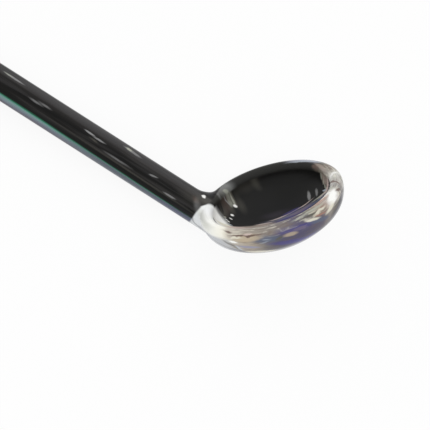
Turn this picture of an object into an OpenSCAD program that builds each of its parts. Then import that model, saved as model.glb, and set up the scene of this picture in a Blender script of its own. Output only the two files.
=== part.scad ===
// Glass stirring spoon: a straight solid rod that runs into a small round bowl.
// It lies as it rests on a table, on the rod and on one side of the bowl.
// X runs along the rod towards the bowl, Z is up, and the origin is at the
// middle of the spoon's footprint. All lengths are in millimetres.

/* [Bowl] */
// Outer diameter of the bowl at its rim
bowl_d = 27; // [22:0.5:34]
// Outer depth of the bowl below its rim
bowl_depth = 9.2; // [8:0.1:12]
// Thickness of the glass wall, and width of its rounded lip
wall = 2.4; // [1.8:0.1:3]
// Outer radius of the turn between the side wall and the base
shoulder_r = 5.4; // [4:0.1:6]

/* [Handle] */
// Overall length from the free end of the rod to the far side of the bowl
overall_length = 165; // [120:1:220]
// Diameter of the rod
rod_d = 6; // [5:0.1:7]
// Radius of the melted edge at the free end of the rod
end_r = 2.2; // [1:0.1:2.4]
// Angle between the rod and the plane of the rim
handle_angle = 44; // [36:1:52]
// How far the lip stands proud of the upper side of the rod
lip_step = 0.25; // [0.15:0.05:0.6]

/* [Neck] */
// Width over which the rod and the bowl melt into each other
melt = 2.7; // [1.8:0.1:3.4]
// How far the heel reaches past the turn of the bowl, along the rod
heel_reach = 3.5; // [2.5:0.1:4.5]

/* [Hidden] */
$fn = 96;

// Bowl: the centre of the wall follows two tangent arcs and ends in the lip
rod_r = rod_d / 2;
bowl_r = bowl_d / 2;
lip_r = wall / 2;
side_drop = bowl_depth - lip_r;
shoulder_x = bowl_r - shoulder_r;
base_r = (shoulder_x^2 + side_drop^2 - shoulder_r^2) / (2 * (side_drop - shoulder_r));
base_z = base_r - bowl_depth;
lip_c = [bowl_r - lip_r, -lip_r];
shoulder_c = [shoulder_x, -lip_r];
base_c = [0, base_z];
turn = atan2(base_z + lip_r, shoulder_x);

// Height of the rim's centre above the rod's axis, with the rod's upper side
// lip_step below the tangent that touches the lip
rim_rise = lip_c.x * sin(handle_angle) + lip_r * cos(handle_angle) - lip_r + rod_r + lip_step;

// Roll at which the rod and the bowl's side touch one plane: the bowl's reach
// in that direction, less the rod's axis, equals the rod's radius
roll_a = shoulder_x^2 * cos(handle_angle)^2 + (rim_rise - lip_r * cos(handle_angle))^2;
roll_b = (rod_r - shoulder_r) * (rim_rise - lip_r * cos(handle_angle));
roll_c = (rod_r - shoulder_r)^2 - shoulder_x^2;
roll = acos((-roll_b + sqrt(roll_b^2 - roll_a * roll_c)) / roll_a);

// How far the bowl reaches from its rim's centre in a direction whose rise is up
function reach(up) =
    let (out = sqrt(1 - up^2))
    up > 0 ? lip_c.x * out - lip_r * up + lip_r
    : -up < sin(turn) ? shoulder_x * out - lip_r * up + shoulder_r
    : base_z * up + base_r;

far_x = reach(-sin(handle_angle));
side_up = sin(roll) * cos(handle_angle);
left_y = rim_rise * sin(roll) + reach(side_up);
right_y = min(rim_rise * sin(roll) - reach(-side_up), -rod_r);

// Neck: sections along the rod, which crowd towards the bowl, then a fan of them
// round the bowl's turn. The true rod ends before the first place where it could
// melt into the bowl.
pivot = [lip_r * sin(handle_angle) - shoulder_x * cos(handle_angle),
         rim_rise - shoulder_x * sin(handle_angle) - lip_r * cos(handle_angle)];
heel_x = pivot.x + heel_reach - rod_r;
rod_end = pivot.x - shoulder_r - melt;
neck_x = rod_end - lip_r;
fan_end = 66;
along_steps = 18;
fan_steps = 14;
round_steps = 56;
crowding = 1.6;

// Walk from the neck's centre line out to its surface: the farthest it goes, its
// first and last stride, and how far under the surface of the glass it stops
farthest = rod_r + 2 * melt;
first_stride = 0.4;
last_stride = 0.004;
bury = 0.02;

// Smooth least of two distances
function melted(a, b, width) =
    let (near = max(width - abs(a - b), 0))
    min(a, b) - (near > 0 ? near^2 / width / 4 : 0);

// Radius and height in the bowl's own frame of a point in the rod's frame
function in_bowl(p) =
    let (h = p.z - rim_rise)
    [norm([p.x * cos(handle_angle) + h * sin(handle_angle), p.y]),
     h * cos(handle_angle) - p.x * sin(handle_angle)];

function over_base(q) = cross(shoulder_c - base_c, q - base_c) <= 0;

// Distance from the bowl's wall
function wall_gap(q) =
    (over_base(q) ? abs(norm(q - base_c) - base_r + lip_r)
    : q.y < -lip_r ? abs(norm(q - shoulder_c) - shoulder_r + lip_r)
    : norm(q - lip_c)) - lip_r;

// How far a point lies outside a cone that leaves the lip squarely to the rod
function past_lip(q) = (q - lip_c) * [cos(handle_angle), sin(handle_angle)];

// Depth inside the middle of the wall, under that cone
function hollow_depth(q) =
    min(-past_lip(q),
        over_base(q) ? base_r - lip_r - norm(q - base_c)
        : q.y < -lip_r ? shoulder_r - lip_r - norm(q - shoulder_c)
        : lip_c.x - q.x);

// Distance from the rod, which is round at its heel
function rod_gap(p) = norm([max(p.x - heel_x, 0), p.y, p.z]) - rod_r;

// Distance from the melted glass of rod and bowl together, which melts less
// on top of the lip, because the rod's upper side meets it flush
function glass_gap(p) =
    let (q = in_bowl(p),
         share = max(q.x - bowl_r + wall, -lip_r - q.y) / wall)
    max(melted(wall_gap(q), rod_gap(p), melt * max(min(share, 1), 0)), hollow_depth(q));

// Walks out from c in direction d until it is just under the glass surface
function surface_at(c, d, from = 0, stride = first_stride) =
    from >= farthest ? farthest
    : glass_gap(c + (from + stride) * d) < -bury ? surface_at(c, d, from + stride, stride)
    : stride < last_stride ? from
    : surface_at(c, d, from, stride / 2);

// Distance from the pivot to the outer half of the bowl's wall
function to_wall(d) =
    let (to_base = pivot - [-base_z * sin(handle_angle), rim_rise + base_z * cos(handle_angle)],
         b = to_base * d)
    sqrt(b^2 - to_base * to_base + (base_r - lip_r / 2)^2) - b;

function fan_centre(turned) =
    let (d = [sin(turned), -cos(turned)],
         part = turned / fan_end,
         r = pivot.y * (1 - part) + to_wall(d) * part,
         c = pivot + r * d)
    [[c.x, 0, c.y], [d.x, 0, d.y]];

sections = concat(
    [for (i = [0:along_steps - 1])
        let (left = (1 - i / along_steps)^crowding)
        [[pivot.x - (pivot.x - neck_x) * left, 0, 0], [0, 0, -1]]],
    [for (i = [0:fan_steps]) fan_centre(fan_end * i / fan_steps)]);

neck_points = [for (s = sections, i = [0:round_steps - 1])
    let (a = 360 * i / round_steps,
         d = cos(a) * s[1] + sin(a) * [0, 1, 0])
    s[0] + surface_at(s[0], d) * d];

neck_faces = concat(
    [for (s = [0:len(sections) - 2], i = [0:round_steps - 1], half = [0, 1])
        let (next = (i + 1) % round_steps, a = s * round_steps, b = a + round_steps)
        half == 0 ? [a + i, b + i, b + next] : [a + i, b + next, a + next]],
    [[for (i = [0:round_steps - 1]) i]],
    [[for (i = [1:round_steps]) len(sections) * round_steps - i]]);

// Half section of everything below the lip and inside a line that runs inset
// under the bowl's outer surface
module within(inset) {
    intersection() {
        union() {
            translate(shoulder_c) circle(r = shoulder_r - inset);
            translate(base_c) intersection() {
                circle(r = base_r - inset);
                polygon([[0, 0], [0, -2 * base_r], 2 * base_r * [cos(turn), -sin(turn)]]);
            }
        }
        translate([0, -2 * bowl_depth]) square([bowl_d, 2 * bowl_depth - lip_r]);
    }
}

module bowl() {
    rotate_extrude() {
        difference() {
            within(0);
            within(wall);
        }
        translate(lip_c) circle(r = lip_r);
    }
}

// Rod along its own axis, from the melted free end to the neck
module rod() {
    start = far_x - overall_length;
    translate([start, 0, 0]) rotate([0, 90, 0]) rotate_extrude() {
        translate([rod_r - end_r, end_r]) intersection() {
            circle(r = end_r);
            translate([0, -end_r]) square(end_r);
        }
        square([rod_r - end_r, end_r]);
        translate([0, end_r]) square([rod_r, rod_end - start - end_r]);
    }
}

module neck() {
    polyhedron(points = neck_points, faces = neck_faces, convexity = 6);
}

module spoon() {
    color([0.16, 0.17, 0.18, 0.85])
    translate([overall_length / 2 - far_x, -(left_y + right_y) / 2, rod_r])
    rotate([-roll, 0, 0]) {
        translate([0, 0, rim_rise]) rotate([0, -handle_angle, 0]) bowl();
        rod();
        neck();
    }
}

spoon();
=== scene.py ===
from math import atan2, cos, pi, radians, sin, tau

import bmesh
import bpy
import numpy as np
from mathutils import Matrix, Vector


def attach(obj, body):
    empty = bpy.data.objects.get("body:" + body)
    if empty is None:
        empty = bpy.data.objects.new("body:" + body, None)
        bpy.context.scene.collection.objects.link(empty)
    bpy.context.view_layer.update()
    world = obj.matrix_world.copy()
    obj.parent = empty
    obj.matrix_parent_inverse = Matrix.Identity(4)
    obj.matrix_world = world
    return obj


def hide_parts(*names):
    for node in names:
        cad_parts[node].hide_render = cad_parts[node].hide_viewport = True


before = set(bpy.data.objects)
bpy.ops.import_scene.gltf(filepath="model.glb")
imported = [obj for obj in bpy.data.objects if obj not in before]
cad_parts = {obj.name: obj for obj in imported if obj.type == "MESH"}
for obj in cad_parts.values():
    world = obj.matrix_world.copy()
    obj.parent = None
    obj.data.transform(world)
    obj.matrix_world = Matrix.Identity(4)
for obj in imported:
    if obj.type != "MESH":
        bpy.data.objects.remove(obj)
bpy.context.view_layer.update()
print("frame loaded")

spoon = {
    "bowlWidth": 0.027,
    "bowlDepth": 0.0092,
    "wall": 0.0024,
    "shoulder": 0.0054,  # outer radius of the turn between side and base
    "rod": 0.006,
    "endRound": 0.0022,
    "length": 0.165,
    "tilt": 44.0,  # between the rod and the plane of the rim
    "lipStep": 0.00025,  # how far the lip stands proud of the rod
    "melt": 0.0027,  # width over which the rod and the bowl melt into each other
    "lipMelt": 0.1,  # share of that width which is left on top of the lip
    "heelReach": 0.0035,
    "roll": 33.1763,  # it lies on the rod and on one side of the bowl
    "rimAt": (0.07043976, -0.00562785, 0.003),  # on the rod's axis, under the middle of the rim
    "skin": 0.0003,  # size of the finished faces
}

# the bowl's outline: a shallow base, the turn at its edge, and the rounded lip
rodR = spoon["rod"] / 2
bowlR = spoon["bowlWidth"] / 2
lipR = spoon["wall"] / 2
tilt = radians(spoon["tilt"])
shoulderX = bowlR - spoon["shoulder"]
sideDrop = spoon["bowlDepth"] - lipR
baseR = (shoulderX**2 + sideDrop**2 - spoon["shoulder"] ** 2) / (2 * (sideDrop - spoon["shoulder"]))
baseZ = baseR - spoon["bowlDepth"]
turn = atan2(baseZ + lipR, shoulderX)

# where the rim stands over the rod's axis, and where the rod starts and ends under it
rimRise = (bowlR - lipR) * sin(tilt) + lipR * cos(tilt) - lipR + rodR + spoon["lipStep"]
heelX = lipR * sin(tilt) - shoulderX * cos(tilt) + spoon["heelReach"] - rodR
startX = -spoon["length"] / 2 - spoon["rimAt"][0]

rodPlace = Matrix.Translation(spoon["rimAt"]) @ Matrix.Rotation(-radians(spoon["roll"]), 4, "X")
bowlPlace = rodPlace @ Matrix.Translation((0, 0, rimRise)) @ Matrix.Rotation(-tilt, 4, "Y")


def sweep(mesh, vert, centre, angle, steps):
    # turns one vertex about a point of the XZ plane, and returns the arc's last vertex
    pivot = (centre[0], 0, centre[1])
    made = bmesh.ops.spin(mesh, geom=[vert], cent=pivot, axis=(0, -1, 0), angle=angle, steps=steps)
    return next(g for g in made["geom_last"] if isinstance(g, bmesh.types.BMVert))


def revolve(mesh, axis, steps, place):
    # spins an outline into a closed skin, and puts that in its place
    outline = mesh.verts[:] + mesh.edges[:]
    bmesh.ops.spin(
        mesh, geom=outline, cent=(0, 0, 0), axis=axis, angle=tau, steps=steps, use_merge=True
    )
    bmesh.ops.remove_doubles(mesh, verts=mesh.verts, dist=1e-7)
    bmesh.ops.recalc_face_normals(mesh, faces=mesh.faces)
    bmesh.ops.transform(mesh, matrix=place, verts=mesh.verts)


def makeBowl():
    mesh = bmesh.new()
    vert = bmesh.ops.create_vert(mesh, co=(0, 0, -spoon["bowlDepth"]))["vert"][0]
    vert = sweep(mesh, vert, (0, baseZ), pi / 2 - turn, steps=24)
    vert = sweep(mesh, vert, (shoulderX, -lipR), turn, steps=12)
    vert = sweep(mesh, vert, (bowlR - lipR, -lipR), pi, steps=16)
    vert = sweep(mesh, vert, (shoulderX, -lipR), -turn, steps=8)
    sweep(mesh, vert, (0, baseZ), turn - pi / 2, steps=24)
    revolve(mesh, (0, 0, 1), 128, bowlPlace)
    return mesh


def makeRod():
    endRound = spoon["endRound"]
    mesh = bmesh.new()
    middle = mesh.verts.new((startX, 0, 0))
    edge = mesh.verts.new((startX, 0, rodR - endRound))
    mesh.edges.new((middle, edge))
    side = sweep(mesh, edge, (startX + endRound, rodR - endRound), -pi / 2, steps=10)
    heel = mesh.verts.new((heelX, 0, rodR))
    mesh.edges.new((side, heel))
    sweep(mesh, heel, (heelX, 0), -pi / 2, steps=12)
    revolve(mesh, (1, 0, 0), 64, rodPlace)
    return mesh


def isOverBase(r, h):
    # whether a point is over the base, and not over the turn at its edge
    return shoulderX * (h - baseZ) + (lipR + baseZ) * r <= 0


def wallGap(r, h):
    # distance from the bowl's wall, at a radius and a height from the rim
    base = abs(np.hypot(r, h - baseZ) - baseR + lipR)
    side = abs(np.hypot(r - shoulderX, h + lipR) - spoon["shoulder"] + lipR)
    lip = np.hypot(r - bowlR + lipR, h + lipR)
    return np.where(isOverBase(r, h), base, np.where(h < -lipR, side, lip)) - lipR


def hollowDepth(r, h):
    # depth past the middle of the wall, on the bowl's inner side
    base = baseR - lipR - np.hypot(r, h - baseZ)
    side = spoon["shoulder"] - lipR - np.hypot(r - shoulderX, h + lipR)
    inner = np.where(isOverBase(r, h), base, np.where(h < -lipR, side, bowlR - lipR - r))
    return np.minimum(inner, (bowlR - lipR - r) * cos(tilt) - (h + lipR) * sin(tilt))


def rodGap(x, across):
    # distance from the rod, at a place along it and a radius
    endRound = spoon["endRound"]
    heel = np.hypot(np.maximum(x - heelX, 0), across) - rodR
    ahead = np.maximum(startX + endRound - x, 0)
    aside = np.maximum(across - rodR + endRound, 0)
    end = np.hypot(ahead, aside) - endRound
    return np.where(x < startX + endRound, end, heel)


def seenFrom(place, points):
    # the points in a place's own coordinates
    back = np.array(place.inverted())
    return points @ back[:3, :3].T + back[:3, 3]


def glassGap(points):
    # distance from the glass, with the rod and the bowl melted into each other
    alongRod, inBowl = seenFrom(rodPlace, points), seenFrom(bowlPlace, points)
    r, h = np.hypot(inBowl[:, 0], inBowl[:, 1]), inBowl[:, 2]
    wall, rod = wallGap(r, h), rodGap(alongRod[:, 0], np.hypot(alongRod[:, 1], alongRod[:, 2]))
    offLip = np.maximum(r - bowlR + spoon["wall"], -lipR - h) / spoon["wall"]
    width = spoon["melt"] * np.clip(offLip, spoon["lipMelt"], 1)
    near = np.maximum(width - abs(wall - rod), 0)
    melted = np.minimum(wall, rod) - near**2 / width / 4
    return np.minimum(wall, np.maximum(melted, hollowDepth(r, h)))


def drawToGlass(mesh):
    # draws every vertex onto the melted surface, and evens the faces out in between
    nudge = 1e-6
    leastSlope = 0.25
    longest = 2e-4
    for smoothings in (3, 2, 0):
        points = np.array([v.co for v in mesh.verts])
        for _ in range(4):
            gap = glassGap(points)
            rises = [glassGap(points + d) - glassGap(points - d) for d in np.eye(3) * nudge]
            slope = np.stack(rises, axis=1) / (2 * nudge)
            step = gap / np.maximum((slope**2).sum(axis=1), leastSlope)
            points -= np.clip(step, -longest, longest)[:, None] * slope
        for vert, point in zip(mesh.verts, points):
            vert.co = point
        for _ in range(smoothings):
            bmesh.ops.smooth_vert(
                mesh, verts=mesh.verts, factor=0.5, use_axis_x=True, use_axis_y=True, use_axis_z=True
            )


def makeSpoon():
    # the bowl and the rod, fused into one skin
    shell = bpy.data.meshes.new("spoon_glass")
    both = bmesh.new()
    for part in (makeBowl(), makeRod()):
        part.to_mesh(shell)
        both.from_mesh(shell)
        part.free()
    both.to_mesh(shell)
    both.free()
    piece = bpy.data.objects.new("spoon_glass", shell)
    bpy.context.scene.collection.objects.link(piece)
    fuse = piece.modifiers.new("fuse", "REMESH")
    fuse.mode, fuse.voxel_size, fuse.adaptivity = "VOXEL", spoon["skin"], 0
    fused = piece.evaluated_get(bpy.context.evaluated_depsgraph_get()).to_mesh()
    mesh = bmesh.new()
    mesh.from_mesh(fused)
    piece.modifiers.clear()
    drawToGlass(mesh)
    for face in mesh.faces:
        face.smooth = True
    mesh.to_mesh(shell)
    gaps = glassGap(np.array([v.co for v in mesh.verts]))
    print("spoon glass:", len(mesh.faces), "faces, worst gap", abs(gaps).max())
    mesh.free()
    return piece


class Value:
    # a socket whose sums, products and powers add Math nodes
    def __init__(self, net, socket):
        self.net, self.socket = net, socket

    def math(self, operation, *others):
        sockets = dict(enumerate((self,) + others))
        return self.net.node("ShaderNodeMath", {"operation": operation}, sockets)

    def __add__(self, other):
        return self.math("ADD", other)

    def __radd__(self, other):
        return self.math("ADD", other)

    def __sub__(self, other):
        return self.math("SUBTRACT", other)

    def __rsub__(self, other):
        return self.net.node("ShaderNodeMath", {"operation": "SUBTRACT"}, {0: other, 1: self})

    def __mul__(self, other):
        return self.math("MULTIPLY", other)

    def __truediv__(self, other):
        return self.math("DIVIDE", other)

    def __pow__(self, other):
        return self.math("POWER", other)

    def most(self, other):
        return self.math("MAXIMUM", other)

    def least(self, other):
        return self.math("MINIMUM", other)

    def ease(self, low, high):
        # 0 below low and 1 above high, or the reverse where low is above high
        if low > high:
            return 1 - self.ease(high, low)
        sockets = {"Value": self, "From Min": low, "From Max": high}
        return self.net.node("ShaderNodeMapRange", {"interpolation_type": "SMOOTHSTEP"}, sockets)


class Net:
    # a material's nodes
    def __init__(self, name):
        self.material = bpy.data.materials.new(name)
        self.material.use_nodes = True
        self.tree = self.material.node_tree
        self.tree.nodes.clear()

    def node(self, kind, settings=None, sockets=None, output=0):
        # adds a node with its settings and inputs, and returns one of its outputs
        made = self.tree.nodes.new(kind)
        for key, value in (settings or {}).items():
            if key == "stops":
                ramp = made.color_ramp
                while len(ramp.elements) > 1:
                    ramp.elements.remove(ramp.elements[0])
                for i, (place, colour) in enumerate(value):
                    stop = ramp.elements[0] if i == 0 else ramp.elements.new(place)
                    stop.position, stop.color = place, (*colour, 1)
            else:
                setattr(made, key, value)
        for key, value in (sockets or {}).items():
            if isinstance(value, Value):
                self.tree.links.new(value.socket, made.inputs[key])
            else:
                made.inputs[key].default_value = value
        return Value(self, made.outputs[output]) if made.outputs else made

    def mix(self, factor, first, second):
        # blends two colours, which are the node's inputs 6 and 7
        first, second = ((*c, 1) if isinstance(c, tuple) else c for c in (first, second))
        sockets = {"Factor": factor, 6: first, 7: second}
        return self.node("ShaderNodeMix", {"data_type": "RGBA"}, sockets, output=2)

    def along(self, point, direction, origin):
        # distance of a point from an origin in one direction
        start = -Vector(origin).dot(direction)
        sockets = {0: point, 1: tuple(direction)}
        dot = self.node("ShaderNodeVectorMath", {"operation": "DOT_PRODUCT"}, sockets, output="Value")
        return dot + start

    def ramp(self, value, stops):
        # a colour for each height of a value between the first stop and the last
        low, high = stops[0][0], stops[-1][0]
        places = [((at - low) / (high - low), colour) for at, colour in stops]
        return self.node("ShaderNodeValToRGB", {"stops": places}, {"Fac": (value - low) / (high - low)})

    def sheet(self, first, second, shake, noise):
        # two distances over a surface, shaken by a noise so that no stroke has a ruled edge
        start = {"X": first - shake[0] / 2, "Y": second - shake[1] / 2}
        flat = self.node("ShaderNodeCombineXYZ", {}, start)
        sockets = {0: noise, 1: (*shake, 0), 2: flat}
        return self.node("ShaderNodeVectorMath", {"operation": "MULTIPLY_ADD"}, sockets)

    def stroke(self, sheet, start, end, width, soft):
        # 1 along a brush stroke from start to end, and 0 away from it
        way = Vector(end) - Vector(start)
        middle = (Vector(end) + Vector(start)) / 2
        spread = 1 / (1 - soft / 2)
        sockets = {
            "Vector": sheet,
            "Location": (*middle, 0),
            "Rotation": (0, 0, atan2(way.y, way.x)),
            "Scale": ((way.length / 2 + width) * spread, width * spread, 1),
        }
        placed = self.node("ShaderNodeMapping", {"vector_type": "TEXTURE"}, sockets)
        settings = {"gradient_type": "SPHERICAL"}
        near = self.node("ShaderNodeTexGradient", settings, {"Vector": placed}, output="Fac")
        return near.ease(0, soft)

    def paint(self, colour, sheet, strokes, palette, size=(1, 1)):
        # lays strokes of (start, end, half width, colour, strength) over a colour, faint ones softly
        for start, end, width, name, strength in strokes:
            ends = [(at[0] * size[0], at[1] * size[1]) for at in (start, end)]
            soft = 0.6 if strength > 0.5 else 1.0
            share = self.stroke(sheet, *ends, width, soft) * strength
            colour = self.mix(share, colour, palette[name])
        return colour


def srgb(r, g, b):
    # a colour written as 0 to 255 on the screen, as the linear light that it stands for
    return tuple(c / 255 / 12.92 if c <= 10 else ((c / 255 + 0.055) / 1.055) ** 2.4 for c in (r, g, b))


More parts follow.
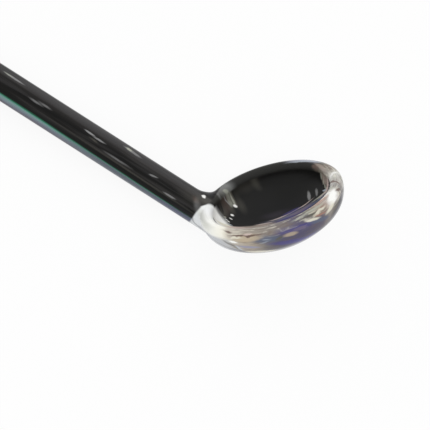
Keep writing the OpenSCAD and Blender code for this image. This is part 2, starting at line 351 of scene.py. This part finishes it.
glass = {
    "ior": 1.47,
    "roughness": (0.05, 0.14),
    "roughInside": 0.38,  # soft, so that no lamp shows as a shape in the bowl
    "gloss": 0.14,  # low, because most of what the glass shows is painted
    "lightFrom": 70.2,  # degrees above the floor that the handle's bands of light face
    "nearest": -60,  # degrees round the bowl to its side nearest the camera
    "body": 0.965,  # how far the glass hides what is behind it
    "handle": (  # across the handle, from its upper edge to its lower one: painted dark refraction, with a band of painted reflection near the top and a band of painted refracted light near the bottom
        (-1.0, srgb(2, 2, 2)),
        (-0.93, srgb(16, 16, 16)),
        (-0.84, srgb(58, 57, 58)),
        (-0.72, srgb(62, 61, 62)),
        (-0.55, srgb(50, 48, 48)),
        (-0.45, srgb(28, 26, 25)),
        (-0.1, srgb(8, 8, 8)),
        (0.05, srgb(14, 13, 12)),
        (0.24, srgb(16, 15, 13)),
        (0.36, srgb(10, 10, 10)),
        (0.52, srgb(16, 18, 16)),
        (0.58, srgb(32, 98, 72)),
        (0.65, srgb(98, 146, 134)),
        (0.74, srgb(120, 140, 144)),
        (0.86, srgb(104, 106, 120)),
        (0.94, srgb(64, 64, 78)),
        (1.0, srgb(18, 18, 28)),
    ),
    "streakPull": 0.16,  # how far the streaks pull the painted bands, as a share of the radius
    "bandSink": 0.13,  # how far the lower band of painted refracted light sinks towards the neck
    "bandFar": srgb(92, 98, 108),  # the lower band of painted refracted light loses its green towards the neck
    "bandNear": srgb(90, 94, 114),
    "mottle": srgb(74, 72, 72),
    "neckAt": -9.4,  # mm along the handle to the line where its painted dark ends
    "neckSlant": 0.3,
    "neckTurn": -0.22,  # across the handle, where that line turns back
    "neckBack": 1.9,
    # the hollow is painted dark, as the glass shows dark surroundings through it
    "inside": srgb(24, 24, 23),
    "insideMiddle": srgb(22, 22, 24),
    "farLip": srgb(42, 42, 40),  # painted nearly as dark as the hollow, with a painted highlight on its edge
    "farRimHighlight": srgb(164, 166, 178),
    "under": srgb(116, 114, 122),  # the base of the bowl, which the camera doesn't see
    "nearWall": srgb(98, 92, 98),  # the inner side of the near wall, which it doesn't see either
    "lip": (  # in degrees round the lip from the side nearest the camera: painted reflections and refracted light, dark on the far side, with a painted white highlight over the neck
        (-180, srgb(52, 52, 50)),
        (-154, srgb(60, 60, 60)),
        (-145, srgb(112, 114, 112)),
        (-134, srgb(98, 98, 94)),
        (-129, srgb(62, 62, 58)),
        (-124, srgb(50, 50, 46)),
        (-117, srgb(42, 42, 38)),
        (-114, srgb(24, 24, 22)),
        (-110.5, srgb(240, 242, 240)),
        (-100, srgb(248, 249, 249)),
        (-72, srgb(252, 252, 246)),
        (-57, srgb(250, 247, 234)),
        (-50, srgb(204, 196, 184)),
        (-38, srgb(178, 170, 159)),
        (-22, srgb(150, 142, 133)),
        (0, srgb(122, 116, 116)),
        (8, srgb(98, 93, 112)),
        (15, srgb(100, 96, 104)),
        (22, srgb(130, 127, 118)),
        (34, srgb(156, 134, 122)),
        (45, srgb(222, 216, 209)),
        (57, srgb(204, 200, 193)),
        (65, srgb(158, 155, 150)),
        (76, srgb(190, 186, 180)),
        (88, srgb(200, 200, 193)),
        (94, srgb(190, 186, 176)),
        (99, srgb(146, 137, 127)),
        (112, srgb(128, 120, 110)),
        (122, srgb(78, 77, 70)),
        (138, srgb(56, 56, 53)),
        (180, srgb(52, 52, 50)),
    ),
    "outside": (  # the same below the lip, where the painted white highlight runs down under the neck
        (-180, srgb(74, 74, 73)),
        (-134, srgb(96, 97, 96)),
        (-120, srgb(196, 200, 198)),
        (-110, srgb(226, 229, 230)),
        (-98, srgb(230, 233, 235)),
        (-84, srgb(124, 127, 136)),
        (-68, srgb(190, 193, 199)),
        (-52, srgb(194, 195, 196)),
        (-42, srgb(194, 187, 175)),
        (-30, srgb(172, 161, 146)),
        (-18, srgb(122, 118, 116)),
        (-8, srgb(92, 89, 101)),
        (10, srgb(84, 80, 108)),
        (32, srgb(92, 87, 102)),
        (43, srgb(140, 134, 128)),
        (60, srgb(96, 94, 92)),
        (76, srgb(158, 157, 164)),
        (104, srgb(140, 138, 134)),
        (140, srgb(80, 80, 78)),
        (180, srgb(74, 74, 73)),
    ),
    # hues of the painted highlights, reflections, refracted light and dark edges
    "palette": {
        "white": srgb(252, 252, 248),
        "cream": srgb(230, 226, 208),
        "pink": srgb(206, 188, 180),
        "tan": srgb(194, 178, 152),
        "taupe": srgb(164, 150, 140),
        "sage": srgb(176, 178, 164),
        "grey": srgb(150, 150, 150),
        "mist": srgb(186, 194, 204),
        "lavender": srgb(150, 150, 172),
        "violet": srgb(76, 72, 130),
        "mauve": srgb(114, 104, 124),
        "slate": srgb(94, 102, 122),
        "redBrown": srgb(172, 124, 106),
        "umber": srgb(112, 94, 86),
        "olive": srgb(94, 92, 84),
        "paintedEdgeDark": srgb(64, 62, 78),
        "nearBlack": srgb(24, 24, 26),
    },
    "rimStrokes": (  # painted highlights, reflections, refracted light and dark edges, from and to, in degrees round the bowl and mm over the lip and down
        ((-4, 1.5), (24, 2.0), 0.5, "violet", 0.75),
        ((-12, 3.4), (20, 5.4), 0.55, "violet", 0.8),
        ((8, 5.3), (26, 5.0), 0.55, "violet", 0.7),
        ((-23, 1.9), (-8, 2.25), 0.75, "slate", 0.85),
        ((22, 2.0), (38, 2.95), 0.42, "slate", 0.8),
        ((7, 1.85), (16, 2.15), 0.34, "mauve", 0.8),
        ((0, 2.3), (7, 2.5), 0.4, "tan", 0.65),
        ((-40, 1.55), (-22, 1.45), 0.5, "tan", 0.8),
        ((-36, 4.8), (-15, 5.6), 0.45, "cream", 0.75),
        ((-8.5, 2.55), (-4.5, 2.35), 0.3, "olive", 0.85),
        ((-18, 2.0), (-14, 2.1), 0.13, "mist", 0.45),
        ((-21, 2.7), (-15, 2.5), 0.13, "mist", 0.35),
        ((-40, 3.0), (-25, 3.55), 0.3, "lavender", 0.85),
        ((9, 0.75), (22, 0.47), 0.18, "sage", 0.65),
        ((22, 0.47), (37, 0.65), 0.22, "sage", 0.85),
        ((12, 0.93), (37, 1.15), 0.09, "olive", 0.9),
        ((18, 1.25), (29, 1.9), 0.24, "cream", 0.85),
        ((26, 1.17), (38, 1.05), 0.09, "cream", 0.8),
        ((27, 1.3), (36, 1.7), 0.17, "redBrown", 0.65),
        ((33, -0.3), (47, 0.15), 0.24, "redBrown", 0.7),
        ((-46, 1.05), (-17, 1.15), 0.06, "umber", 1.0),
        ((-51, 0.6), (-45, 0.75), 0.16, "umber", 0.8),
        ((-33, 1.04), (-26, 0.92), 0.09, "pink", 0.9),
        ((-50, 1.2), (-36, 1.22), 0.05, "cream", 0.9),
        ((-47, 1.85), (-42, 2.12), 0.24, "white", 1.0),
        ((-54.5, 2.0), (-46, 2.95), 0.3, "olive", 0.55),
        ((-46, 2.95), (-43.5, 4.05), 0.3, "olive", 0.5),
        ((-43.5, 3.0), (-41, 3.9), 0.23, "mist", 0.8),
        ((-70, 2.7), (-52, 3.9), 0.28, "grey", 0.7),
        ((-53, 3.9), (-41, 4.5), 0.26, "slate", 0.6),
        ((-42, 4.4), (-36, 6.2), 0.28, "slate", 0.6),
        ((118, 0.25), (150, -0.4), 0.22, "mist", 0.65),
        ((104, -0.8), (121, -0.5), 0.29, "taupe", 0.8),
        ((97, 0.8), (112, 0.1), 0.13, "umber", 1.0),
        ((112, 0.1), (120, -0.2), 0.11, "olive", 0.8),
        ((50, -0.85), (94, -0.85), 0.4, "white", 0.4),
        ((88, -0.9), (90, 0.3), 0.42, "white", 0.6),
        ((82, -0.9), (79, 0.2), 0.34, "sage", 0.5),
        ((77.5, -1.0), (73.5, -0.1), 0.3, "umber", 0.95),
        ((74, 0.0), (71, 0.75), 0.22, "umber", 0.8),
        ((70, -0.8), (68, 0.0), 0.35, "grey", 0.45),
        ((64, -0.9), (62, 0.1), 0.34, "sage", 0.65),
        ((58.5, 0.75), (65, 1.1), 0.14, "umber", 0.85),
        ((62, 0.9), (60, 1.4), 0.14, "umber", 0.6),
        ((46, 1.05), (58, 0.5), 0.52, "white", 1.0),
        ((50, -0.9), (54, 0.1), 0.3, "white", 0.7),
        ((50, 2.3), (62, 2.7), 0.32, "olive", 0.85),
        ((45, 3.1), (57, 2.6), 0.3, "olive", 0.85),
        ((46, 3.5), (60, 2.8), 0.3, "nearBlack", 0.55),
        ((57, 2.4), (65, 3.8), 0.45, "olive", 0.95),
        ((59, 2.7), (66, 3.8), 0.6, "nearBlack", 1.0),
        ((66, 1.5), (76, 2.1), 0.3, "olive", 0.7),
        ((76.5, 1.5), (80, 1.0), 0.2, "olive", 0.8),
        ((81, 0.95), (87, 0.95), 0.1, "olive", 0.6),
        ((45, 2.65), (57, 2.67), 0.08, "umber", 0.8),
        ((38.5, 2.0), (47, 1.55), 0.4, "cream", 0.85),
        ((-104, 1.0), (-90, 0.2), 0.6, "sage", 0.4),
        ((-92, 0.95), (-72, 0.75), 0.45, "sage", 0.5),
        ((117, -1.0), (124, -0.9), 0.24, "umber", 0.7),
        ((-137, -0.4), (-147, -0.6), 0.5, "grey", 0.35),
        ((-139.5, -1.0), (-142.5, -1.15), 0.26, "sage", 0.6),
        ((-134, -0.2), (-131, -1.1), 0.2, "grey", 0.4),
        ((-109.5, 2.4), (-108, 4.4), 0.16, "paintedEdgeDark", 0.5),
        ((-90, 1.6), (-78, 3.1), 0.25, "paintedEdgeDark", 0.6),
        ((-78, 3.1), (-62, 4.9), 0.3, "paintedEdgeDark", 0.6),
        ((-62, 4.9), (-46, 6.0), 0.3, "paintedEdgeDark", 0.52),
        ((-46, 6.0), (-28, 6.8), 0.3, "slate", 0.6),
    ),
    "insideStrokes": (  # painted highlights, reflections and refracted light in the hollow, from and to, in mm along and across the bowl
        ((7.4, 8.4), (8.9, 6.9), 0.55, "taupe", 0.85),
        ((8.9, 7.0), (8.4, 5.7), 0.45, "pink", 0.9),
        ((8.4, 5.9), (7.0, 5.3), 0.3, "pink", 0.75),
        ((-10.8, -0.4), (-9.6, -1.5), 0.55, "grey", 0.6),
        ((-12.2, -1.1), (-9.3, -2.9), 1.05, "white", 1.0),
        ((-10.9, -2.8), (-9.6, -3.6), 0.9, "white", 1.0),
        ((-9.8, -3.2), (-7.6, -2.8), 0.5, "cream", 0.95),
        ((-8.4, -3.1), (-5.4, -1.2), 0.45, "pink", 0.9),
        ((-6.0, -1.3), (-1.0, 1.3), 0.55, "taupe", 0.9),
        ((-4.6, 0.2), (-2.0, 1.6), 0.16, "pink", 0.7),
        ((-1.8, 1.9), (3.4, 4.3), 0.5, "lavender", 0.5),
        ((-0.8, 1.6), (2.2, 3.1), 0.55, "violet", 0.65),
        ((1.5, 3.3), (5.0, 4.8), 0.45, "mauve", 0.85),
        ((3.0, 3.4), (6.0, 4.6), 0.22, "violet", 0.7),
        ((4.6, 4.3), (8.0, 5.2), 0.3, "slate", 0.7),
        ((5.4, 5.25), (8.0, 5.75), 0.16, "sage", 0.8),
        ((-2.5, 1.9), (1.5, 4.3), 0.12, "pink", 0.8),
        ((1.5, 4.3), (5.0, 5.9), 0.12, "pink", 0.8),
        ((0.0, 3.7), (2.2, 4.7), 0.45, "violet", 0.55),
        ((7.6, 7.3), (8.1, 6.3), 0.14, "sage", 0.6),
        ((7.4, 6.5), (8.1, 6.1), 0.14, "mist", 0.8),
        ((-9.9, 5.6), (-6.5, 9.2), 0.4, "olive", 0.2),
        ((-8.8, 4.7), (-8.0, 3.6), 0.6, "olive", 0.35),
        ((-10.0, 3.2), (-9.4, 2.0), 0.45, "olive", 0.45),
        ((-10.9, 4.0), (-10.2, 1.4), 0.55, "umber", 0.35),
        ((-10.4, 4.5), (-9.9, 3.4), 0.45, "sage", 0.55),
        ((-10.2, 4.8), (-9.2, 3.7), 0.42, "olive", 0.8),
        ((-9.95, 4.5), (-9.35, 3.85), 0.2, "sage", 0.65),
        ((-10.5, 3.5), (-10.1, 3.95), 0.16, "olive", 0.5),
        ((-10.8, 3.1), (-10.0, 3.15), 0.13, "grey", 0.6),
        ((-9.25, 3.52), (-9.2, 3.5), 0.3, "white", 1.0),
        ((-9.15, 1.0), (-9.05, 1.0), 0.24, "white", 0.95),
        ((-9.2, -0.1), (-8.9, -0.2), 0.12, "white", 0.9),
        ((-9.2, -1.2), (-8.9, -1.3), 0.1, "white", 0.9),
        ((-9.7, -0.9), (-9.4, -1.0), 0.1, "white", 0.8),
        ((-10.0, -0.5), (-9.8, -0.4), 0.1, "cream", 0.8),
        ((-8.7, -2.0), (-8.2, -2.1), 0.12, "mist", 0.8),
        ((-10.6, 1.4), (-10.1, -0.4), 0.45, "olive", 0.4),
        ((-10.9, 1.4), (-10.4, 0.4), 0.12, "nearBlack", 0.8),
        ((-6.9, 8.8), (-6.3, 8.7), 0.45, "olive", 0.35),
        ((3.8, 7.6), (4.4, 6.2), 0.3, "grey", 0.75),
        ((5.6, 7.5), (6.0, 6.4), 0.28, "grey", 0.6),
        ((6.8, 8.7), (6.9, 8.6), 0.2, "sage", 0.6),
        ((7.3, 8.0), (7.3, 7.8), 0.2, "sage", 0.6),
        ((-3.0, 3.2), (-0.6, 4.2), 0.7, "mauve", 0.12),
    ),
    "handleStrokes": (  # painted glints, streaks of reflected light and darker marks, from and to, in mm along the handle and down from its middle line
        ((-12.2, -1.2), (-9.6, -1.4), 1.1, "olive", 0.2),
        ((-11.2, -1.2), (-10.6, -1.0), 0.35, "umber", 0.4),
        ((-10.4, -0.8), (-9.5, 0.4), 0.45, "grey", 0.3),
        ((-9.9, -1.8), (-8.4, -2.2), 0.55, "olive", 0.45),
        ((-52.6, -1.98), (-49.0, -1.93), 0.15, "grey", 0.7),
        ((-52.6, -1.98), (-51.4, -1.98), 0.1, "sage", 0.5),
        ((-46.0, -0.48), (-44.2, -0.44), 0.15, "grey", 0.5),
        ((-44.2, -0.8), (-42.4, -0.76), 0.15, "grey", 0.5),
        ((-34.6, -1.02), (-32.8, -0.96), 0.16, "grey", 0.8),
        ((-32.6, -0.78), (-30.6, -0.86), 0.15, "grey", 0.7),
        ((-33.0, -0.3), (-31.8, -0.24), 0.13, "olive", 0.5),
        ((-28.8, 0.42), (-25.0, 0.42), 0.14, "grey", 0.45),
        ((-26.8, -2.32), (-23.8, -2.2), 0.2, "grey", 0.6),
        ((-26.6, -2.34), (-25.6, -2.3), 0.17, "sage", 0.8),
        ((-20.4, -0.5), (-19.0, -0.7), 0.15, "grey", 0.55),
        ((-16.4, 0.88), (-14.2, 0.82), 0.17, "grey", 0.6),
        ((-36.0, 0.85), (-11.0, 1.2), 0.14, "olive", 0.3),
        ((-10.05, -2.4), (-9.9, -2.45), 0.26, "white", 1.0),
    ),
}
mm = 1000  # the paint is laid out in millimetres


def alongBowl(net, point, direction):
    # mm from the middle of the rim in one of the bowl's own directions
    return net.along(point, bowlPlace.to_3x3() @ Vector(direction) * mm, bowlPlace.translation)


def handleColour(net, point, streak, grain, x, v):
    # at x along the handle, and v across it as a share of its radius
    # the handle's colour is painted refraction and reflection, in bands across it
    palette = glass["palette"]
    pulled = v + (streak - 0.5) * glass["streakPull"]
    sunk = pulled - x.ease(-48, -14) * v.ease(0.3, 0.6) * v.ease(1.0, 0.8) * glass["bandSink"]
    colour = net.ramp(sunk, glass["handle"])
    band = sunk.ease(0.56, 0.68)
    colour = net.mix(streak.ease(0.44, 0.64) * v.ease(0.5, 0.2) * 0.3, colour, glass["mottle"])
    # the lower band of painted refracted light greys towards the neck, and is painted dark where it
    # ends
    colour = net.mix(x.ease(-44, -26) * band, colour, glass["bandFar"])
    colour = net.mix(x.ease(-22, -12) * band, colour, glass["bandNear"])
    bandEnd = x.ease(-16, -12) * v.ease(0.8, 0.66) * v.ease(0.4, 0.6)
    colour = net.mix(bandEnd, colour, palette["nearBlack"])

    # dashes of light beyond what the photograph shows, and then the strokes
    far = net.node("ShaderNodeMapping", {}, {"Vector": point, "Scale": (150, 2600, 2600)})
    dashes = net.node("ShaderNodeTexNoise", {}, {"Vector": far, "Scale": 1.0, "Detail": 1.0})
    dashes = dashes.ease(0.7, 0.8) * x.ease(-53, -56) * v.ease(0.5, 0.3) * 0.5
    colour = net.mix(dashes, colour, palette["sage"])
    sheet = net.sheet(x, v * (rodR * mm), (0.9, 0.16), grain)
    return net.paint(colour, sheet, glass["handleStrokes"], palette)


def rimColour(net, wave, grain, chi, r, h, outer, isOuter):
    # at chi degrees round the bowl, and t out over the lip and then down the side
    # the rim's colour is painted reflection and refracted light
    palette = glass["palette"]
    overLip = r - (bowlR - lipR) * mm
    t = overLip + (overLip.most(0 - h) - overLip) * outer.ease(0, 0.1)
    lip = net.ramp(chi - t * 2.5 + (wave - 0.5) * 6, glass["lip"])
    outside = net.ramp(chi + (wave - 0.5) * 16, glass["outside"])
    # painted darker low down the outer side, as a painted dark edge
    outside = net.mix(t.ease(2.5, 5.5) * chi.ease(-118, -112) * 0.4, outside, palette["paintedEdgeDark"])

    # the far side of the lip is painted dark, with a painted highlight along its outer edge
    isFar = 1 - chi.ease(-158, -146) * chi.ease(128, 114)
    lip = net.mix(isFar * t.ease(0.5, -0.4), lip, glass["farLip"])
    outerEdge = t.ease(0.5, 0.9) * 0.5
    lightEdge = outerEdge + t.ease(-0.6, 0.1) * chi.ease(112, 120) * chi.ease(160, 146) * 0.9
    lip = net.mix(isFar * lightEdge.least(1.0), lip, glass["farRimHighlight"])
    colour = net.mix(t.ease(1.1, 2.0), lip, outside)

    # fine streaks of painted refracted light and dark that run round the bowl, and then the painted
    # strokes
    flow = net.node("ShaderNodeCombineXYZ", {}, {"X": chi / 16, "Y": t * 2.4, "Z": outer * 0.4})
    sockets = {"Vector": flow, "Scale": 1.6, "Detail": 4.0, "Distortion": 0.4}
    fine = net.node("ShaderNodeTexNoise", {}, sockets)
    lively = chi.ease(-62, -46) * chi.ease(122, 100)
    colour = net.mix(fine.ease(0.5, 0.36) * lively * 0.4, colour, palette["umber"])
    colour = net.mix(fine.ease(0.52, 0.68) * lively * t.ease(3.0, 1.0) * 0.5, colour, palette["cream"])
    mmPerDegree = radians((bowlR - lipR) * mm)
    sheet = net.sheet(chi * mmPerDegree, t, (0.9, 0.3), grain)
    colour = net.paint(colour, sheet, glass["rimStrokes"], palette, (mmPerDegree, 1))

    # the near side is painted darker where it turns under, as a painted dark edge, and the base has a
    # colour of its own
    horizon = 7.2 - (chi + 6) * (chi + 6) / 980
    nearSide = chi.ease(-56, -40) * chi.ease(72, 60)
    colour = net.mix((t - horizon).ease(-1.4, -0.5) * nearSide * 0.6, colour, palette["paintedEdgeDark"])
    return net.mix(r.ease(10.5, 7.5) * isOuter, colour, glass["under"])


def insideColour(net, point, wave, grain, r, toNear):
    # the hollow, painted dark as the glass shows dark surroundings, and darkest on the side that the
    # camera sees
    bx, by = alongBowl(net, point, (1, 0, 0)), alongBowl(net, point, (0, 1, 0))
    deep = r.ease(11, 3) * wave.ease(0.2, 0.8)
    colour = net.mix(deep, glass["inside"], glass["insideMiddle"])
    colour = net.mix(toNear.ease(-2.0, 0.5), colour, glass["nearWall"])
    sheet = net.sheet(bx, by, (0.3, 0.3), grain)
    return net.paint(colour, sheet, glass["insideStrokes"], glass["palette"])


def makeGlass():
    net = Net("spoon_glass")
    point = net.node("ShaderNodeTexCoord", output="Object")
    wave = net.node("ShaderNodeTexNoise", {}, {"Vector": point, "Scale": 260.0, "Detail": 3.0})
    sockets = {"Vector": point, "Scale": 700.0, "Detail": 3.0}
    grain = net.node("ShaderNodeTexNoise", {}, sockets, output="Color")
    drawn = net.node("ShaderNodeMapping", {}, {"Vector": point, "Scale": (60, 1400, 1400)})
    streak = net.node("ShaderNodeTexNoise", {}, {"Vector": drawn, "Scale": 1.0, "Detail": 4.0})

    # along the handle from under the middle of the rim, and across it
    lightFrom = radians(glass["lightFrom"])
    down = Vector((0, -sin(lightFrom), -cos(lightFrom)))
    x = net.along(point, Vector((1, 0, 0)) * mm, spoon["rimAt"])
    v = net.along(point, down / rodR, spoon["rimAt"])
    handle = handleColour(net, point, streak, grain, x, v)

    # round the bowl, out from the middle of its rim, and up from it
    nearest, beside = radians(glass["nearest"]), radians(glass["nearest"] + 90)
    toNear = alongBowl(net, point, (cos(nearest), sin(nearest), 0))
    toSide = alongBowl(net, point, (cos(beside), sin(beside), 0))
    h = alongBowl(net, point, (0, 0, 1))
    r = (toNear * toNear + toSide * toSide) ** 0.5
    chi = toSide.math("ARCTAN2", toNear) * (180 / pi)

    # how far out of the middle of the wall
    pastBase = (r * (baseZ + lipR) * mm + (h - baseZ * mm) * shoulderX * mm).ease(-1, 1)
    sideX, sideZ = r - shoulderX * mm, h + lipR * mm
    outOfSide = (sideX * sideX + sideZ * sideZ) ** 0.5 - (spoon["shoulder"] - lipR) * mm
    outOfBase = (r * r + (h - baseZ * mm) * (h - baseZ * mm)) ** 0.5 - (baseR - lipR) * mm
    outer = outOfBase + (outOfSide - outOfBase) * pastBase
    isOuter = outer.ease(-0.2, 0.2)
    isLip = h.ease(-1.4, -1.0) * r.ease(10.4, 10.8)
    rim = rimColour(net, wave, grain, chi, r, h, outer, isOuter)
    inside = insideColour(net, point, wave, grain, r, toNear)
    bowl = net.mix((isOuter + isLip).least(1.0), inside, rim)

    # the handle's painted dark ends on a slanting line, which turns back on its upper side
    nearV = v.most(-0.7)
    edge = glass["neckAt"] - nearV * glass["neckSlant"]
    edge = edge + (glass["neckTurn"] - nearV).most(0.0) * glass["neckBack"]
    isBowl = (x - edge + (wave - 0.5) * 0.5).ease(-0.2, 0.2)
    colour = net.mix(isBowl, handle, bowl)

    sockets = {"Strength": 0.12, "Distance": 0.0002, "Height": wave}
    bump = net.node("ShaderNodeBump", {}, sockets)
    least, most = glass["roughness"]
    rough = least + streak * (most - least)
    rough = rough + isBowl * (1 - isOuter) * (glass["roughInside"] - rough)
    finish = {"Base Color": colour, "Roughness": rough, "IOR": glass["ior"], "Normal": bump}
    clear = net.node("ShaderNodeBsdfPrincipled", {}, {**finish, "Transmission Weight": 1.0})
    finish["Specular IOR Level"] = glass["gloss"]
    solid = net.node("ShaderNodeBsdfPrincipled", {}, finish)
    mixed = net.node("ShaderNodeMixShader", {}, {0: glass["body"], 1: clear, 2: solid})
    net.node("ShaderNodeOutputMaterial", {}, {"Surface": mixed})
    print("glass:", len(net.tree.nodes), "nodes")
    return net.material


spoonPiece = makeSpoon()
spoonPiece.data.materials.append(makeGlass())
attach(spoonPiece, "root")
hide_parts("spoon")


floor = {
    "size": 2.0,
    "colour": srgb(240, 240, 240),
    "roughness": 0.9,
    "whiteness": 0.9,  # how far the paper is as white as the page to the camera, and in the glass
}


def makeFloor():
    mesh = bmesh.new()
    bmesh.ops.create_grid(mesh, x_segments=1, y_segments=1, size=floor["size"])
    data = bpy.data.meshes.new("floor")
    mesh.to_mesh(data)
    mesh.free()
    paper = bpy.data.objects.new("floor", data)
    bpy.context.scene.collection.objects.link(paper)
    net = Net("floor_paper")
    sockets = {"Base Color": (*floor["colour"], 1), "Roughness": floor["roughness"]}
    matt = net.node("ShaderNodeBsdfPrincipled", {}, sockets)
    lit = net.node("ShaderNodeEmission", {}, {"Color": (1, 1, 1, 1), "Strength": 1.0})
    rays = ("Is Camera Ray", "Is Glossy Ray", "Is Transmission Ray")
    path = [net.node("ShaderNodeLightPath", output=ray) for ray in rays]
    seen = path[0].most(path[1]).most(path[2]) * floor["whiteness"]
    mixed = net.node("ShaderNodeMixShader", {}, {0: seen, 1: matt, 2: lit})
    net.node("ShaderNodeOutputMaterial", {}, {"Surface": mixed})
    data.materials.append(net.material)


studio = {
    "world": 0.95,  # strength of the even white light from all round
    "keyAt": (-0.7, 1.2, 1.6),
    "keyPower": 5,  # watts
    "fillAt": (1.3, -1.0, 1.4),
    "fillPower": 2.5,
    "lampSize": 2.2,
}


def makeLight(name, at, power):
    data = bpy.data.lights.new(name, "AREA")
    data.energy, data.size = power, studio["lampSize"]
    lamp = bpy.data.objects.new(name, data)
    lamp.location = at
    lamp.rotation_euler = (-Vector(at)).to_track_quat("-Z", "Y").to_euler()
    bpy.context.scene.collection.objects.link(lamp)


def makeWorld():
    world = bpy.data.worlds.new("studio")
    bpy.context.scene.world = world
    world.use_nodes = True
    sky = world.node_tree.nodes["Background"]
    sky.inputs["Color"].default_value = (1, 1, 1, 1)
    sky.inputs["Strength"].default_value = studio["world"]


camera = {
    "distance": 0.8,
    "across": 0.0789,  # what the frame's width takes in at the bowl
    "aim": (0.06406, -0.0050, 0.00323),
    "elevation": 70.2,  # degrees above the floor
    "turn": 32.575,  # the handle runs from the upper left down to the right
}


def makeCamera():
    elevation, twist = radians(camera["elevation"]), radians(camera["turn"])
    back = Vector((0, -cos(elevation), sin(elevation)))
    down = Vector((0, -sin(elevation), -cos(elevation)))
    right = cos(twist) * Vector((1, 0, 0)) - sin(twist) * down
    up = -sin(twist) * Vector((1, 0, 0)) - cos(twist) * down
    data = bpy.data.cameras.new("camera")
    data.lens = data.sensor_width * camera["distance"] / camera["across"]
    data.clip_start = 0.01
    view = bpy.data.objects.new("camera", data)
    place = Matrix.Translation(Vector(camera["aim"]) + back * camera["distance"])
    view.matrix_world = place @ Matrix((right, up, back)).transposed().to_4x4()
    bpy.context.scene.collection.objects.link(view)
    bpy.context.scene.camera = view


makeFloor()
makeLight("key", studio["keyAt"], studio["keyPower"])
makeLight("fill", studio["fillAt"], studio["fillPower"])
makeWorld()
makeCamera()
bpy.context.scene.view_settings.view_transform = "Standard"
print("floor, lamps and camera placed")

print("done")
